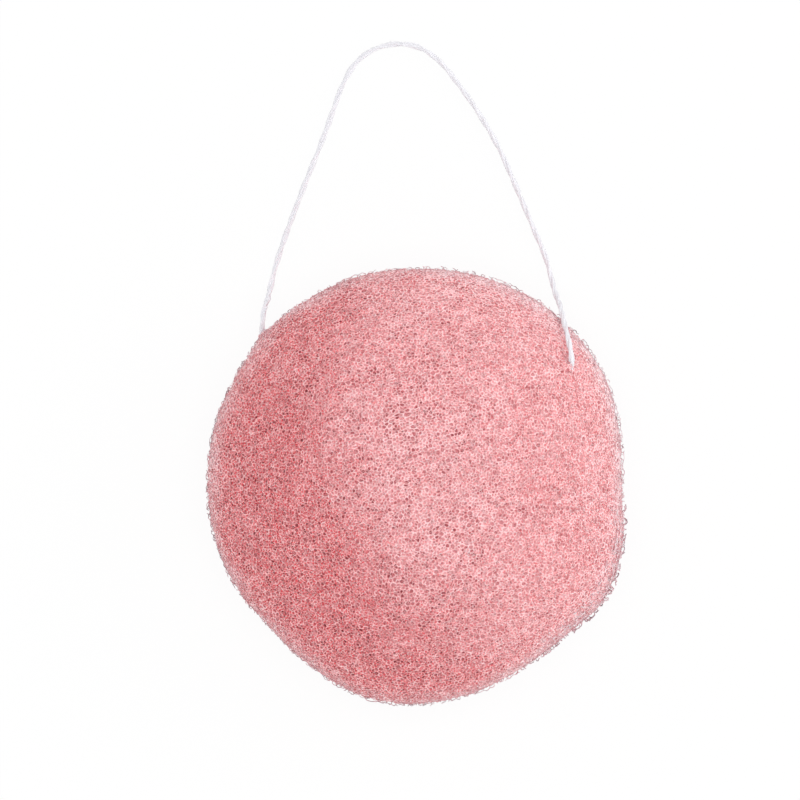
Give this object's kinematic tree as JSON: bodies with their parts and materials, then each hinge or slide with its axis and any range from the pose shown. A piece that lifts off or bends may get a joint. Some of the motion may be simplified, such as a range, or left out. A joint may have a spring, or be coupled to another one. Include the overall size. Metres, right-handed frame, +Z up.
{
  "type": "konjac sponge",
  "caption": "Half-ball face sponge of open-celled konjac foam with a flat base and an irregular dome, threaded with a thin twisted cotton string whose loop hangs it up.",
  "frame": {"origin": "middle of the puff's outline box, on the surface that its flat base rests on", "axes": "+Z up through the dome; +Y along the puff's long way, towards the string's loop; +X to the right with the loop at the top"},
  "size_m": [0.0786, 0.1248, 0.036],
  "materials": {
    "konjac_foam": "open-celled pink konjac foam, matt and slightly translucent",
    "cotton_string": "white two-ply twisted cotton, matt"
  },
  "bodies": {
    "sponge": {"sponge_body": "konjac_foam", "string_run_left": "cotton_string", "string_run_right": "cotton_string", "string_knot": "cotton_string"},
    "loop": {"string_loop": "cotton_string"}
  },
  "joints": [
    {"name": "loop_swing", "type": "hinge", "parent": "sponge", "child": "loop", "pos_m": [-0.0288, 0.02921, 0.011], "axis": [0.971, -0.1021, 0.216], "range_deg": [0, 115], "deforming": ["string_loop"]}
  ]
}
